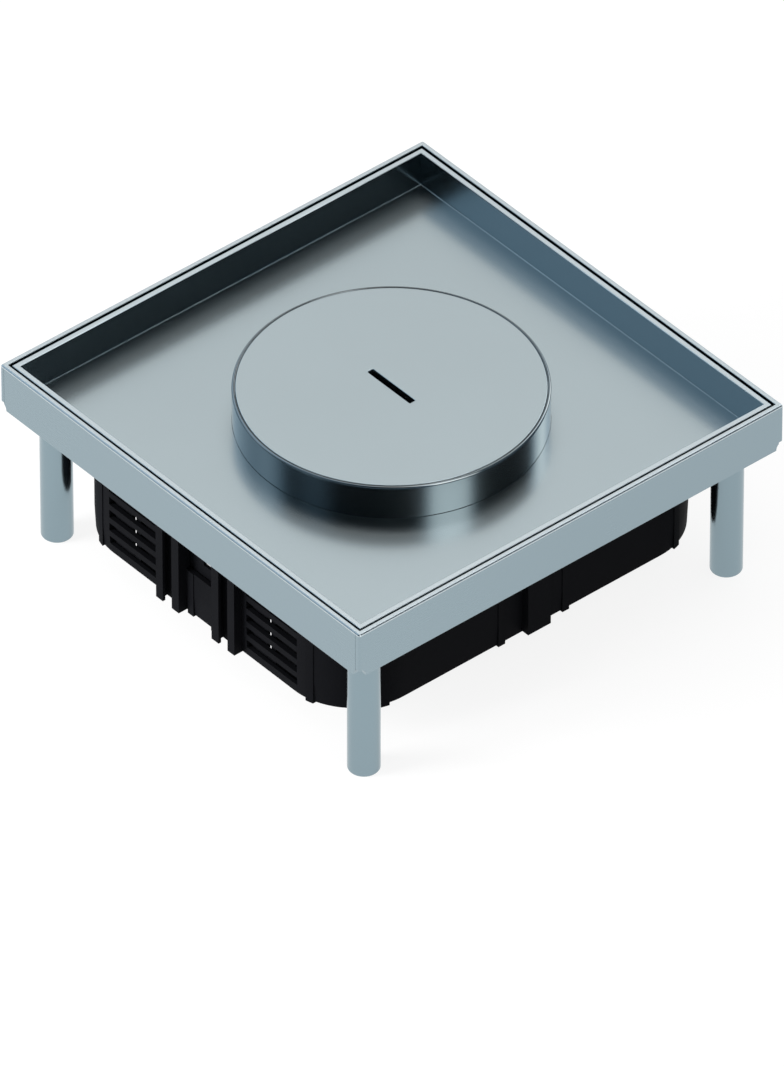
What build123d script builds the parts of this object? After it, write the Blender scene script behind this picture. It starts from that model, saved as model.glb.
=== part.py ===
from build123d import *
import math
import os

# Square stainless floor box cover with a round collar and lid, on four levelling legs.
# Millimetres. The origin is on the slab, under the middle of the cover, with +Z up.
# -Y is the side with the slotted wall that faces the front left.

os.makedirs("parts", exist_ok=True)

# Outer frame
FRAME_WIDTH = 264.0
FRAME_WALL = 2.75
FRAME_EDGE_RADIUS = 1.0
FRAME_CORNER_RADIUS = 1.2
LEDGE_WIDTH = 12.0
LEDGE_THICKNESS = 2.0
RELIEF_RADIUS = 4.3
STANDING_HEIGHT = 102.4

# Tray for the floor covering
TRAY_GAP = 1.3
TRAY_WALL = 2.75
TRAY_DEPTH = 19.3
TRAY_FLOOR = 2.0
TRAY_DROP = 0.3
TRAY_CORNER_HOLE_RADIUS = 1.8
TRAY_SEAM_RADIUS = 0.6
SEAL_THICKNESS = 2.6
SEAL_WIDTH = 6.0
SEAL_SETBACK = 2.3

# Collar
COLLAR_RADIUS = 76.0
COLLAR_RIM = 1.5
COLLAR_WALL = 2.4
COLLAR_DROP = 0.9
COLLAR_EDGE_RADIUS = 1.0
COLLAR_SPIGOT_RELIEF = 0.8
COLLAR_FOOT_GAP = 0.2
COLLAR_HOLE_CLEARANCE = 0.1
COLLAR_FLANGE_WIDTH = 10.5
COLLAR_FLANGE_THICKNESS = 2.5
COLLAR_GASKET_THICKNESS = 1.5
COLLAR_SEAT_WIDTH = 4.9
COLLAR_SEAT_THICKNESS = 2.5
STUD_COUNT = 6
STUD_RADIUS = 2.0
STUD_LENGTH = 9.0
STUD_HOLE_CLEARANCE = 0.25
NUT_ACROSS_FLATS = 7.0
NUT_THICKNESS = 3.2
NUT_CLEARANCE = 0.05

# Lid and its bayonet
LID_GAP = 0.3
LID_THICKNESS = 3.0
LID_EDGE_RADIUS = 0.3
SLOT_LENGTH = 31.0
SLOT_WIDTH = 3.5
LID_SEAL_THICKNESS = 1.6
LID_SEAL_WIDTH = 4.2
CARRIER_DISC_THICKNESS = 2.0
CARRIER_DISC_SETBACK = 0.8
CARRIER_SKIRT_GAP = 0.4
CARRIER_SKIRT_WALL = 3.0
LUG_COUNT = 3
LUG_ANGLE = 24.0
LUG_THICKNESS = 2.5
LUG_GAP = 0.3
LUG_TIP_GAP = 0.6
LID_TURN = 40.0
NOTCH_ANGLE = 28.0
NOTCH_DEPTH_GAP = 0.2
STOP_ANGLE = 4.0
STOP_GAP_ANGLE = 1.0
STOP_WIDTH = 2.1
KEY_POCKET_CLEARANCE = 1.0
KEY_POCKET_DEPTH = 8.0
KEY_POCKET_WALL = 3.0
KEY_POCKET_BASE = 1.5
LID_SCREW_RADIUS = 1.5
LID_SCREW_REACH = 2.2
LID_SCREW_HEAD_RADIUS = 2.8
LID_SCREW_HEAD_HEIGHT = 1.8
LID_SCREW_CIRCLE_RADIUS = 48.0
LID_SCREW_CLEARANCE = 0.05

# Levelling legs
LEG_DIAMETER = 16.0
LEG_INSET = 18.6
LEG_EDGE_RADIUS = 1.2
LEG_BORE_CLEARANCE = 0.08
LEG_BORE_FLOOR = 10.0
LEG_TRAVEL = 25.0
THREAD_OVERLAP = 19.0
SCREW_DIAMETER = 10.0
SCREW_HEAD_RADIUS = 8.0
SCREW_HEAD_HEIGHT = 4.0
SCREW_HEAD_SETBACK = 0.2
SCREW_FACE_GAP = 0.1
SCREW_HEAD_CLEARANCE = 0.5
HEX_KEY_SIZE = 6.0
HEX_KEY_DEPTH = 3.0
CIRCLIP_THICKNESS = 1.0
CIRCLIP_REACH = 2.5
CIRCLIP_GROOVE_DEPTH = 0.5
CIRCLIP_CLEARANCE = 0.1
LEG_TOP_GAP = 1.1
BLOCK_SIZE = 34.0
BLOCK_HEIGHT = 7.0
BLOCK_PLATE_THICKNESS = 4.2
BLOCK_BOSS_RADIUS = 12.0
BLOCK_OUTER_CHAMFER = 5.0
BLOCK_HOUSING_CLEARANCE = 3.4

# Device housing
HOUSING_END_INSET = 28.0
HOUSING_SIDE_INSET = 14.6
HOUSING_CORNER_RADIUS = 37.0
HOUSING_WALL = 2.4
HOUSING_DEPTH = 57.0
HOUSING_TAPER_HEIGHT = 12.0
HOUSING_TAPER = 0.5
FLANGE_SETBACK = 4.25
FLANGE_THICKNESS = 3.0
FLANGE_CORNER_CLEARANCE = 0.7
GUIDE_DEPTH = 4.8
GUIDE_LIP = 1.6
GUIDE_UNDERCUT = 2.4
GUIDE_MOUTH_WIDTH = 6.6
INNER_RIB_WIDTH = 5.2
OUTER_RIB_WIDTH = 5.0
WINDOW_WIDTH = 24.2
PANEL_HEIGHT = 25.2
POST_WIDTH = 14.2
POST_DEPTH = 4.5
POST_FOOT_RISE = 0.9
SLOT_ROWS = 5
LATCH_SLOT_LENGTH = 37.0
LATCH_SLOT_HEIGHT = 4.6
LATCH_SLOT_PITCH = 8.0
LATCH_SLOT_OFFSET = 50.7
LATCH_SLOT_FOOT = 4.7
LIP_WIDTH = 3.6
LIP_THICKNESS = 2.0
LIP_LENGTH = 156.0
STRIP_WIDTH = 4.2
STRIP_DEPTH = 0.4
STRIP_FOOT_DROP = 0.9
SIDE_STRIP_OFFSET_NEAR = 8.6
SIDE_STRIP_OFFSET_FAR = 77.0
END_STRIP_OFFSET_NEAR = 20.0
END_STRIP_OFFSET_FAR = 91.0
HOUSING_SCREW_OFFSET = 60.0
HOUSING_SCREW_RADIUS = 2.0
HOUSING_SCREW_HEAD_RADIUS = 3.5
HOUSING_SCREW_HEAD_HEIGHT = 2.4
HOUSING_SCREW_CLEARANCE = 0.05

# Device carriers inside the housing
CARRIER_COUNT = 3
CARRIER_GAP = 0.5
CARRIER_SIDE_GAP = 0.7
CARRIER_WALL = 1.8
CARRIER_PLATE_THICKNESS = 2.0
CARRIER_TOP_GAP = 5.2
CARRIER_OPENING_END_MARGIN = 9.9
CARRIER_OPENING_SIDE_MARGIN = 14.8
CARRIER_OPENING_RADIUS = 2.0
LATCH_SLIT_WIDTH = 2.8
LATCH_SLIT_LEFT_OFFSET = 54.0
LATCH_SLIT_RIGHT_OFFSET = 45.5
LATCH_SLIT_FOOT = 3.0
LATCH_SLIT_HEIGHT = 34.0
LATCH_RECESS_SETBACK = 4.6
LATCH_RECESS_WIDTH = 16.0
LATCH_RECESS_DEPTH = 3.0
CARRIER_NOTCH_WIDTH = 5.5
CARRIER_NOTCH_HEIGHT = 10.0
CARRIER_NOTCH_FOOT = 29.5

# Levels, worked out from the top down
top_z = STANDING_HEIGHT
tray_rim_z = top_z - TRAY_DROP
tray_floor_z = tray_rim_z - TRAY_DEPTH
tray_under_z = tray_floor_z - TRAY_FLOOR
ledge_top_z = tray_under_z - SEAL_THICKNESS
frame_under_z = ledge_top_z - LEDGE_THICKNESS
collar_top_z = top_z - COLLAR_DROP
collar_foot_z = tray_floor_z + COLLAR_FOOT_GAP
lid_under_z = collar_top_z - LID_THICKNESS
carrier_disc_under_z = lid_under_z - CARRIER_DISC_THICKNESS
seat_top_z = carrier_disc_under_z - LID_SEAL_THICKNESS
seat_under_z = seat_top_z - COLLAR_SEAT_THICKNESS
lug_top_z = seat_under_z - LUG_GAP
lug_under_z = lug_top_z - LUG_THICKNESS
collar_flange_top_z = tray_under_z - COLLAR_GASKET_THICKNESS
collar_flange_under_z = collar_flange_top_z - COLLAR_FLANGE_THICKNESS
housing_under_z = frame_under_z - HOUSING_DEPTH
flange_under_z = frame_under_z - FLANGE_THICKNESS
carrier_foot_z = housing_under_z + LIP_THICKNESS
carrier_top_z = flange_under_z - CARRIER_TOP_GAP
block_under_z = ledge_top_z - BLOCK_HEIGHT
block_plate_under_z = ledge_top_z - BLOCK_PLATE_THICKNESS
screw_top_z = ledge_top_z - SCREW_HEAD_SETBACK
screw_shoulder_z = screw_top_z - SCREW_HEAD_HEIGHT
circlip_top_z = block_under_z - SCREW_FACE_GAP
circlip_under_z = circlip_top_z - CIRCLIP_THICKNESS
leg_top_z = circlip_under_z - LEG_TOP_GAP
screw_foot_z = leg_top_z - LEG_TRAVEL - THREAD_OVERLAP

# Half widths and radii
frame_half = FRAME_WIDTH / 2
frame_inner = frame_half - FRAME_WALL
tray_half = frame_inner - TRAY_GAP
tray_inner = tray_half - TRAY_WALL
ledge_inner = frame_inner - LEDGE_WIDTH
leg_offset = frame_half - LEG_INSET
block_near = frame_inner - BLOCK_SIZE
collar_hole_radius = COLLAR_RADIUS + COLLAR_HOLE_CLEARANCE
collar_spigot_radius = COLLAR_RADIUS - COLLAR_SPIGOT_RELIEF
collar_flange_radius = COLLAR_RADIUS + COLLAR_FLANGE_WIDTH
collar_inner_radius = COLLAR_RADIUS - COLLAR_WALL
pocket_radius = COLLAR_RADIUS - COLLAR_RIM
seat_radius = pocket_radius - COLLAR_SEAT_WIDTH
lid_radius = pocket_radius - LID_GAP
skirt_radius = seat_radius - CARRIER_SKIRT_GAP
lug_radius = collar_inner_radius - LUG_TIP_GAP
notch_radius = collar_inner_radius - NOTCH_DEPTH_GAP
stud_circle = COLLAR_RADIUS + COLLAR_FLANGE_WIDTH / 2
housing_half_x = frame_half - HOUSING_END_INSET
housing_half_y = frame_half - HOUSING_SIDE_INSET
inner_half_x = housing_half_x - HOUSING_WALL
inner_half_y = housing_half_y - HOUSING_WALL
housing_inner_radius = HOUSING_CORNER_RADIUS - HOUSING_WALL
flange_half = frame_inner - FLANGE_SETBACK
flange_screw_line = (ledge_inner + flange_half) / 2
leg_radius = LEG_DIAMETER / 2
screw_radius = SCREW_DIAMETER / 2
leg_bore_radius = screw_radius + LEG_BORE_CLEARANCE
housing_arc_x = housing_half_x - HOUSING_CORNER_RADIUS
housing_arc_y = housing_half_y - HOUSING_CORNER_RADIUS
housing_reach = math.sqrt(2) * (HOUSING_CORNER_RADIUS + BLOCK_HOUSING_CLEARANCE)
block_inner_chamfer = housing_arc_x + housing_arc_y + housing_reach - 2 * block_near


def sector(inner, outer, angle):
    """One piece of a flat ring, centred on the X axis."""
    half = angle / 2
    with BuildSketch() as piece:
        with BuildLine():
            far = CenterArc((0, 0), outer, -half, angle)
            near = CenterArc((0, 0), inner, -half, angle)
            Line(near @ 0, far @ 0)
            Line(near @ 1, far @ 1)
        make_face()
    return piece.sketch


def flange_circles(radius):
    """Circles at the flange screws, two on each side of the square."""
    with BuildSketch() as circles:
        with Locations((0, flange_screw_line), (0, -flange_screw_line)):
            with GridLocations(2 * HOUSING_SCREW_OFFSET, 0, 2, 1):
                Circle(radius)
        with Locations((flange_screw_line, 0), (-flange_screw_line, 0)):
            with GridLocations(0, 2 * HOUSING_SCREW_OFFSET, 1, 2):
                Circle(radius)
    return circles.sketch


def save(piece, label):
    """Label a finished piece and write its STEP file."""
    piece.part.label = label
    export_step(piece.part, f"parts/{label}.step")


# Outer frame: an upright band with a ledge turned inwards at its foot.
# The ledge stops at the corner blocks, and a round relief opens each lower corner.
with BuildPart() as outer_frame:
    with BuildSketch(Plane.XY.offset(frame_under_z)):
        RectangleRounded(FRAME_WIDTH, FRAME_WIDTH, FRAME_CORNER_RADIUS)
        Rectangle(2 * ledge_inner, 2 * ledge_inner, mode=Mode.SUBTRACT)
        with GridLocations(frame_inner + block_near, frame_inner + block_near, 2, 2):
            Rectangle(BLOCK_SIZE, BLOCK_SIZE, mode=Mode.SUBTRACT)
    extrude(amount=LEDGE_THICKNESS)
    with BuildSketch(Plane.XY.offset(frame_under_z)):
        RectangleRounded(FRAME_WIDTH, FRAME_WIDTH, FRAME_CORNER_RADIUS)
        Rectangle(2 * frame_inner, 2 * frame_inner, mode=Mode.SUBTRACT)
    extrude(amount=top_z - frame_under_z)
    top_face = outer_frame.faces().sort_by(Axis.Z)[-1]
    fillet(top_face.outer_wire().edges(), FRAME_EDGE_RADIUS)
    for wall_plane in (Plane.XZ, Plane.YZ):
        for side in (-1, 1):
            with BuildSketch(wall_plane.offset(side * frame_half)):
                with Locations((-frame_half, frame_under_z), (frame_half, frame_under_z)):
                    Circle(RELIEF_RADIUS)
            extrude(amount=-side * FRAME_WALL, mode=Mode.SUBTRACT)
    with BuildSketch(Plane.XY.offset(frame_under_z)):
        add(flange_circles(HOUSING_SCREW_RADIUS + HOUSING_SCREW_CLEARANCE))
    extrude(amount=LEDGE_THICKNESS, mode=Mode.SUBTRACT)
save(outer_frame, "outer_frame")

# Tray: a welded square pan that takes the floor covering, with the collar's hole in its
# floor, a round relief at each corner of the fold, and studs under it for the collar.
with BuildPart() as tray:
    with BuildSketch(Plane.XY.offset(tray_under_z)):
        Rectangle(2 * tray_half, 2 * tray_half)
    extrude(amount=tray_rim_z - tray_under_z)
    with BuildSketch(Plane.XY.offset(tray_floor_z)):
        Rectangle(2 * tray_inner, 2 * tray_inner)
    extrude(amount=TRAY_DEPTH, mode=Mode.SUBTRACT)
    floor_face = tray.faces().filter_by(Plane.XY).sort_by(Axis.Z)[1]
    fillet(floor_face.outer_wire().edges(), TRAY_SEAM_RADIUS)
    with BuildSketch(Plane.XY.offset(tray_under_z)):
        Circle(collar_hole_radius)
        with GridLocations(2 * tray_inner, 2 * tray_inner, 2, 2):
            Circle(TRAY_CORNER_HOLE_RADIUS)
    extrude(amount=TRAY_FLOOR, mode=Mode.SUBTRACT)
    with BuildSketch(Plane.XY.offset(tray_under_z)):
        with PolarLocations(stud_circle, STUD_COUNT):
            Circle(STUD_RADIUS)
    extrude(amount=-STUD_LENGTH)
save(tray, "tray")

# Tray seal: a foam strip on the ledge that carries the tray.
with BuildPart() as tray_seal:
    seal_half = frame_inner - SEAL_SETBACK
    with BuildSketch(Plane.XY.offset(ledge_top_z)):
        Rectangle(2 * seal_half, 2 * seal_half)
        Rectangle(2 * (seal_half - SEAL_WIDTH), 2 * (seal_half - SEAL_WIDTH), mode=Mode.SUBTRACT)
        with GridLocations(2 * leg_offset, 2 * leg_offset, 2, 2):
            Circle(SCREW_HEAD_RADIUS + SCREW_HEAD_CLEARANCE, mode=Mode.SUBTRACT)
    extrude(amount=SEAL_THICKNESS)
save(tray_seal, "tray_seal")

# Collar: one turned ring with a thin rim, the lid's seat, a smaller spigot through the tray
# floor, and a flange under it.
# The seat has notches that let the lid's lugs pass, and stops that end its turn.
with BuildPart() as collar_ring:
    with BuildSketch(Plane.XZ):
        with BuildLine():
            Polyline(
                (pocket_radius, collar_top_z),
                (COLLAR_RADIUS, collar_top_z),
                (COLLAR_RADIUS, collar_foot_z),
                (collar_spigot_radius, collar_foot_z),
                (collar_spigot_radius, collar_flange_top_z),
                (collar_flange_radius, collar_flange_top_z),
                (collar_flange_radius, collar_flange_under_z),
                (collar_inner_radius, collar_flange_under_z),
                (collar_inner_radius, seat_under_z),
                (seat_radius, seat_under_z),
                (seat_radius, seat_top_z),
                (pocket_radius, seat_top_z),
                close=True,
            )
        make_face()
    revolve(axis=Axis.Z)
    rim_face = collar_ring.faces().sort_by(Axis.Z)[-1]
    fillet(rim_face.outer_wire().edges(), COLLAR_EDGE_RADIUS)
    with BuildSketch(Plane.XY.offset(seat_under_z)):
        with PolarLocations(0, LUG_COUNT, start_angle=LID_TURN):
            add(sector(seat_radius - LID_GAP, notch_radius, NOTCH_ANGLE))
    extrude(amount=COLLAR_SEAT_THICKNESS, mode=Mode.SUBTRACT)
    with BuildSketch(Plane.XY.offset(seat_under_z)):
        stop_offset = LUG_ANGLE / 2 + STOP_GAP_ANGLE + STOP_ANGLE / 2
        for stop_at in (-stop_offset, LID_TURN + stop_offset):
            with PolarLocations(0, LUG_COUNT, start_angle=stop_at):
                add(sector(collar_inner_radius - STOP_WIDTH, collar_inner_radius + LID_GAP, STOP_ANGLE))
    extrude(amount=-(LUG_GAP + LUG_THICKNESS))
    with BuildSketch(Plane.XY.offset(collar_flange_under_z)):
        with PolarLocations(stud_circle, STUD_COUNT):
            Circle(STUD_RADIUS + STUD_HOLE_CLEARANCE)
    extrude(amount=COLLAR_FLANGE_THICKNESS, mode=Mode.SUBTRACT)
save(collar_ring, "collar_ring")

# Collar gasket: flat ring between the tray floor and the collar's flange.
with BuildPart() as collar_gasket:
    with BuildSketch(Plane.XY.offset(collar_flange_top_z)):
        Circle(collar_flange_radius)
        Circle(collar_hole_radius, mode=Mode.SUBTRACT)
        with PolarLocations(stud_circle, STUD_COUNT):
            Circle(STUD_RADIUS + STUD_HOLE_CLEARANCE, mode=Mode.SUBTRACT)
    extrude(amount=COLLAR_GASKET_THICKNESS)
save(collar_gasket, "collar_gasket")

# Collar nuts: hexagon nuts on the tray's studs, under the flange.
with BuildPart() as collar_nuts:
    with BuildSketch(Plane.XY.offset(collar_flange_under_z)):
        with PolarLocations(stud_circle, STUD_COUNT):
            RegularPolygon(NUT_ACROSS_FLATS / 2, 6, major_radius=False)
            Circle(STUD_RADIUS + NUT_CLEARANCE, mode=Mode.SUBTRACT)
    extrude(amount=-NUT_THICKNESS)
save(collar_nuts, "collar_nuts")

# Lid seal: flat ring on the collar's seat, under the lid carrier.
with BuildPart() as lid_seal:
    with BuildSketch(Plane.XY.offset(seat_top_z)):
        Circle(pocket_radius - LID_GAP)
        Circle(pocket_radius - LID_GAP - LID_SEAL_WIDTH, mode=Mode.SUBTRACT)
    extrude(amount=LID_SEAL_THICKNESS)
save(lid_seal, "lid_seal")

# Lid plate: a turned steel disc with the key slot and blind holes for the carrier's screws.
with BuildPart() as lid_plate:
    with BuildSketch(Plane.XY.offset(lid_under_z)):
        Circle(lid_radius)
        Rectangle(SLOT_LENGTH, SLOT_WIDTH, mode=Mode.SUBTRACT)
    extrude(amount=LID_THICKNESS)
    fillet(lid_plate.faces().sort_by(Axis.Z)[-1].outer_wire().edges(), LID_EDGE_RADIUS)
    with BuildSketch(Plane.XY.offset(lid_under_z)):
        with PolarLocations(LID_SCREW_CIRCLE_RADIUS, LUG_COUNT, start_angle=90):
            Circle(LID_SCREW_RADIUS + LID_SCREW_CLEARANCE)
    extrude(amount=LID_SCREW_REACH, mode=Mode.SUBTRACT)
save(lid_plate, "lid_plate")

# Lid carrier: moulded disc under the plate with a skirt, bayonet lugs and the key pocket.
pocket_length = SLOT_LENGTH + 2 * KEY_POCKET_CLEARANCE
pocket_width = SLOT_WIDTH + 2 * KEY_POCKET_CLEARANCE
with BuildPart() as lid_carrier:
    with BuildSketch(Plane.XY.offset(carrier_disc_under_z)):
        Circle(lid_radius - CARRIER_DISC_SETBACK)
    extrude(amount=CARRIER_DISC_THICKNESS)
    with BuildSketch(Plane.XY.offset(lug_under_z)):
        Circle(skirt_radius)
        Circle(skirt_radius - CARRIER_SKIRT_WALL, mode=Mode.SUBTRACT)
    extrude(amount=carrier_disc_under_z - lug_under_z)
    with BuildSketch(Plane.XY.offset(lug_under_z)):
        with PolarLocations(0, LUG_COUNT):
            add(sector(skirt_radius - CARRIER_SKIRT_WALL / 2, lug_radius, LUG_ANGLE))
    extrude(amount=LUG_THICKNESS)
    with BuildSketch(Plane.XY.offset(carrier_disc_under_z)):
        RectangleRounded(
            pocket_length + 2 * KEY_POCKET_WALL,
            pocket_width + 2 * KEY_POCKET_WALL,
            KEY_POCKET_WALL,
        )
    extrude(amount=-(KEY_POCKET_DEPTH + KEY_POCKET_BASE - CARRIER_DISC_THICKNESS))
    with BuildSketch(Plane.XY.offset(lid_under_z)):
        Rectangle(pocket_length, pocket_width)
    extrude(amount=-KEY_POCKET_DEPTH, mode=Mode.SUBTRACT)
    with BuildSketch(Plane.XY.offset(carrier_disc_under_z)):
        with PolarLocations(LID_SCREW_CIRCLE_RADIUS, LUG_COUNT, start_angle=90):
            Circle(LID_SCREW_RADIUS + LID_SCREW_CLEARANCE)
    extrude(amount=CARRIER_DISC_THICKNESS, mode=Mode.SUBTRACT)
save(lid_carrier, "lid_carrier")

# Lid screws: pan heads under the carrier, threads up into the plate.
with BuildPart() as lid_screws:
    with BuildSketch(Plane.XY.offset(carrier_disc_under_z)):
        with PolarLocations(LID_SCREW_CIRCLE_RADIUS, LUG_COUNT, start_angle=90):
            Circle(LID_SCREW_RADIUS)
    extrude(amount=CARRIER_DISC_THICKNESS + LID_SCREW_REACH - LID_SCREW_CLEARANCE)
    with BuildSketch(Plane.XY.offset(carrier_disc_under_z)):
        with PolarLocations(LID_SCREW_CIRCLE_RADIUS, LUG_COUNT, start_angle=90):
            Circle(LID_SCREW_HEAD_RADIUS)
    extrude(amount=-LID_SCREW_HEAD_HEIGHT)
    fillet(lid_screws.faces().filter_by(Plane.XY).group_by(Axis.Z)[0].edges(), LID_SCREW_HEAD_HEIGHT / 3)
save(lid_screws, "lid_screws")

# Corners: each has a block welded into the frame, a levelling screw turning in it, the
# circlip that holds the screw, and the leg that the screw drives down.
corners = {
    "front_left": (-1, -1),
    "front_right": (1, -1),
    "back_left": (-1, 1),
    "back_right": (1, 1),
}
for corner, (side_x, side_y) in corners.items():
    axis_x = side_x * leg_offset
    axis_y = side_y * leg_offset

    # Corner block: square plate, its outer and inner corners cut off, with a round boss under
    # it and a counterbore for the screw's head.
    outer_x = side_x * frame_inner
    outer_y = side_y * frame_inner
    inner_x = side_x * block_near
    inner_y = side_y * block_near
    with BuildPart() as corner_block:
        with BuildSketch(Plane.XY.offset(block_plate_under_z)):
            with BuildLine():
                Polyline(
                    (outer_x, outer_y - side_y * BLOCK_OUTER_CHAMFER),
                    (outer_x, inner_y),
                    (inner_x + side_x * block_inner_chamfer, inner_y),
                    (inner_x, inner_y + side_y * block_inner_chamfer),
                    (inner_x, outer_y),
                    (outer_x - side_x * BLOCK_OUTER_CHAMFER, outer_y),
                    close=True,
                )
            make_face()
        extrude(amount=BLOCK_PLATE_THICKNESS)
        with BuildSketch(Plane.XY.offset(block_under_z)):
            with Locations((axis_x, axis_y)):
                Circle(BLOCK_BOSS_RADIUS)
        extrude(amount=BLOCK_HEIGHT)
        with BuildSketch(Plane.XY.offset(block_under_z)):
            with Locations((axis_x, axis_y)):
                Circle(screw_radius + LEG_BORE_CLEARANCE)
        extrude(amount=BLOCK_HEIGHT, mode=Mode.SUBTRACT)
        with BuildSketch(Plane.XY.offset(ledge_top_z)):
            with Locations((axis_x, axis_y)):
                Circle(SCREW_HEAD_RADIUS + SCREW_HEAD_CLEARANCE)
        extrude(amount=-(ledge_top_z - screw_shoulder_z + SCREW_FACE_GAP), mode=Mode.SUBTRACT)
    save(corner_block, f"corner_block_{corner}")

    # Levelling screw: turned head with a hexagon socket, shank and circlip groove.
    groove_radius = screw_radius - CIRCLIP_GROOVE_DEPTH
    with BuildPart() as levelling_screw:
        with BuildSketch(Plane.XY.offset(screw_foot_z)):
            with Locations((axis_x, axis_y)):
                Circle(screw_radius)
        extrude(amount=screw_shoulder_z - screw_foot_z)
        foot_face = levelling_screw.faces().sort_by(Axis.Z)[0]
        chamfer(foot_face.edges(), CIRCLIP_GROOVE_DEPTH)
        with BuildSketch(Plane.XY.offset(screw_shoulder_z)):
            with Locations((axis_x, axis_y)):
                Circle(SCREW_HEAD_RADIUS)
        extrude(amount=SCREW_HEAD_HEIGHT)
        with BuildSketch(Plane.XY.offset(screw_top_z)):
            with Locations((axis_x, axis_y)):
                RegularPolygon(HEX_KEY_SIZE / 2, 6, major_radius=False)
        extrude(amount=-HEX_KEY_DEPTH, mode=Mode.SUBTRACT)
        with BuildSketch(Plane.XY.offset(circlip_under_z - CIRCLIP_CLEARANCE)):
            with Locations((axis_x, axis_y)):
                Circle(screw_radius + CIRCLIP_CLEARANCE)
                Circle(groove_radius, mode=Mode.SUBTRACT)
        extrude(amount=CIRCLIP_THICKNESS + CIRCLIP_CLEARANCE, mode=Mode.SUBTRACT)
    save(levelling_screw, f"levelling_screw_{corner}")

    # Circlip: open ring in the screw's groove, below the block.
    with BuildPart() as screw_circlip:
        with BuildSketch(Plane.XY.offset(circlip_under_z)):
            with Locations((axis_x, axis_y)):
                Circle(screw_radius + CIRCLIP_REACH)
                Circle(groove_radius + CIRCLIP_CLEARANCE, mode=Mode.SUBTRACT)
            with Locations((axis_x - side_x * screw_radius, axis_y)):
                Rectangle(2 * CIRCLIP_REACH, CIRCLIP_REACH, mode=Mode.SUBTRACT)
        extrude(amount=CIRCLIP_THICKNESS)
    save(screw_circlip, f"screw_circlip_{corner}")

    # Leg: round steel sleeve, bored from above for the screw, its foot edge rounded.
    with BuildPart() as leg:
        with BuildSketch():
            with Locations((axis_x, axis_y)):
                Circle(leg_radius)
        extrude(amount=leg_top_z)
        fillet(leg.faces().sort_by(Axis.Z)[0].edges(), LEG_EDGE_RADIUS)
        with BuildSketch(Plane.XY.offset(leg_top_z)):
            with Locations((axis_x, axis_y)):
                Circle(leg_bore_radius)
        extrude(amount=-(leg_top_z - LEG_BORE_FLOOR), mode=Mode.SUBTRACT)
    save(leg, f"leg_{corner}")

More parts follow.
